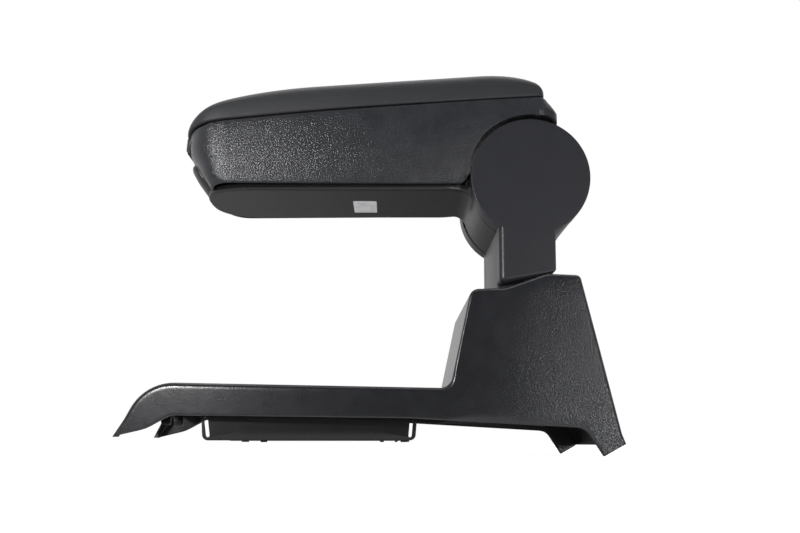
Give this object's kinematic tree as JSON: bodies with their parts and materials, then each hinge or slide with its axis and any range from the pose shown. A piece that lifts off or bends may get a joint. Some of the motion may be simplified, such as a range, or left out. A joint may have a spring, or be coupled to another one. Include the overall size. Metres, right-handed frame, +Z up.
{
  "type": "car centre armrest",
  "caption": "Console cover with an oddments tray and a hollow post that carries a folding padded armrest with a latched, hinged lid over a storage bin.",
  "frame": {"origin": "centre of the part's box on the plane of the rear wing tips", "axes": "+X to the rear of the car, +Y across the car, +Z up"},
  "size_m": [0.418, 0.13, 0.3228],
  "materials": {
    "grained_plastic": "fine pebble grain, charcoal",
    "satin_plastic": "smooth satin, charcoal",
    "smooth_plastic": "smooth, slightly sheened",
    "soft_skin": "soft grained skin over foam",
    "gloss_plastic": "near-black gloss",
    "steel": "zinc-plated steel",
    "rubber": "matt rubber",
    "nylon": "plain nylon",
    "felt": "short felt"
  },
  "bodies": {
    "base": {"console_cover": "grained_plastic", "tray_frame": "gloss_plastic", "oddments_tray": "gloss_plastic", "tray_mat": "rubber", "post_bracket": "steel", "post_sleeve": "satin_plastic", "left_post_cover": "satin_plastic", "right_post_cover": "satin_plastic", "pivot_bolt": "steel", "pivot_nut": "steel", "pivot_washers": "steel"},
    "armrest": {"upper_casing": "grained_plastic", "lower_casing": "smooth_plastic", "armrest_bin": "smooth_plastic", "bin_mat": "felt", "arm_frame": "steel", "hub_tube": "steel", "hub_bushes": "nylon", "casing_screws": "steel", "frame_screws": "steel", "striker_plate": "steel", "lid_hinge_pin": "steel", "lid_bumpers": "rubber"},
    "lid": {"lid_base": "smooth_plastic", "lid_pad": "soft_skin", "lid_lining": "felt", "latch_housing": "satin_plastic"},
    "latch": {"latch_button": "satin_plastic", "latch_hook": "steel"}
  },
  "joints": [
    {"name": "armrest_fold", "type": "hinge", "parent": "base", "child": "armrest", "pos_m": [0.137, 0, 0.231], "axis": [0, 1, 0], "range_deg": [0, 90]},
    {"name": "lid_open", "type": "hinge", "parent": "armrest", "child": "lid", "pos_m": [0.1503, 0, 0.3022], "axis": [0, 1, 0], "range_deg": [0, 80]},
    {"name": "latch_press", "type": "slide", "parent": "lid", "child": "latch", "axis": [1, 0, 0], "range_m": [0, 0.0035], "stiffness_N_per_m": 200}
  ]
}
